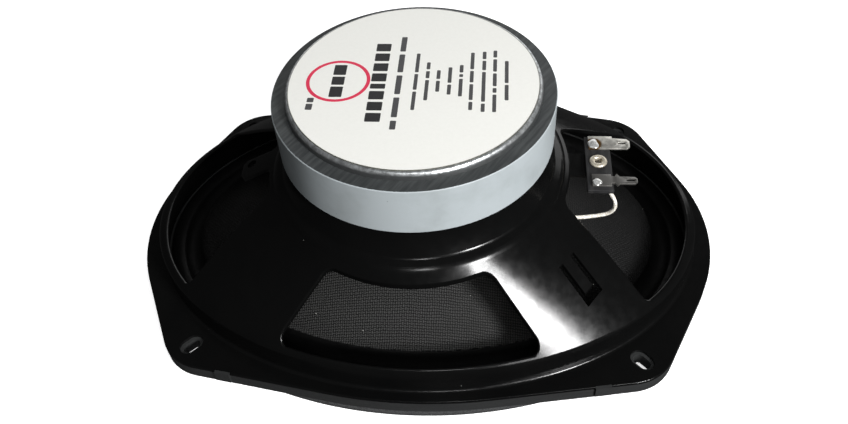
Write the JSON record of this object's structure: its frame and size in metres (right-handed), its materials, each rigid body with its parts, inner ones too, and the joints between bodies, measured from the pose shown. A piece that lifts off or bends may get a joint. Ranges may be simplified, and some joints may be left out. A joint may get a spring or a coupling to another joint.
{
  "type": "coaxial car loudspeaker",
  "caption": "Oval coaxial car loudspeaker lying face down: black pressed basket with windows, ring magnet and labelled back plate, blade terminals, coaxial tweeter pod in front of the cone.",
  "frame": {"origin": "middle of the face that the speaker rests on, which is the front of its gasket", "axes": "+X along the oval's long axis towards the terminals, +Z from the front rim towards the magnet"},
  "size_m": [0.2372, 0.1674, 0.0887],
  "materials": {
    "basket_paint": "satin",
    "trim_plastic": "satin",
    "foam": "matte",
    "ferrite": "satin",
    "zinc_steel": "satin",
    "plate_steel": "satin",
    "label_paper": "matte",
    "bolt_steel": "satin",
    "cone_cloth": "matte",
    "surround_rubber": "satin",
    "spider_cloth": "matte",
    "coil_former": "satin",
    "copper": "gloss",
    "felt": "matte",
    "pod_plastic": "gloss",
    "bezel_chrome": "polished",
    "titanium": "gloss",
    "neodymium": "satin",
    "piezo_brass": "satin",
    "horn_paper": "matte",
    "capacitor_film": "gloss",
    "fibre_board": "matte",
    "tinned_steel": "satin",
    "solder": "gloss",
    "braid": "matte"
  },
  "bodies": {
    "chassis": {"basket": "basket_paint", "trim_ring": "trim_plastic", "front_gasket": "foam", "ferrite_magnet": "ferrite", "yoke": "zinc_steel", "top_plate": "plate_steel", "plate_rivets": "bolt_steel", "rear_label": "label_paper", "post_bolt": "bolt_steel", "tweeter_post": "pod_plastic", "tweeter_pod": "pod_plastic", "tweeter_cup": "plate_steel", "tweeter_magnet": "neodymium", "tweeter_pole_plate": "plate_steel", "tweeter_bezel": "bezel_chrome", "super_tweeter_disc": "piezo_brass", "super_tweeter_horn": "horn_paper", "super_tweeter_bezel": "bezel_chrome", "tweeter_capacitor": "capacitor_film", "super_tweeter_capacitor": "capacitor_film", "terminal_board": "fibre_board", "board_eyelet": "tinned_steel", "wide_terminal": "tinned_steel", "narrow_terminal": "tinned_steel", "wide_solder": "solder", "narrow_solder": "solder", "surround": "surround_rubber", "spider": "spider_cloth", "tinsel_lead": "braid"},
    "cone_assembly": {"cone": "cone_cloth", "voice_coil_former": "coil_former", "voice_coil": "copper", "dust_ring": "felt", "lead_pad": "solder"},
    "dome_assembly": {"tweeter_dome": "titanium", "tweeter_coil": "copper"}
  },
  "joints": [
    {"name": "cone_excursion", "type": "slide", "parent": "chassis", "child": "cone_assembly", "axis": [0, 0, 1], "range_m": [-0.004, 0.004], "stiffness_N_per_m": 2000, "deforming": ["surround", "spider", "tinsel_lead"]},
    {"name": "dome_excursion", "type": "slide", "parent": "chassis", "child": "dome_assembly", "axis": [0, 0, 1], "range_m": [-0.0003, 0.0003], "stiffness_N_per_m": 500}
  ]
}
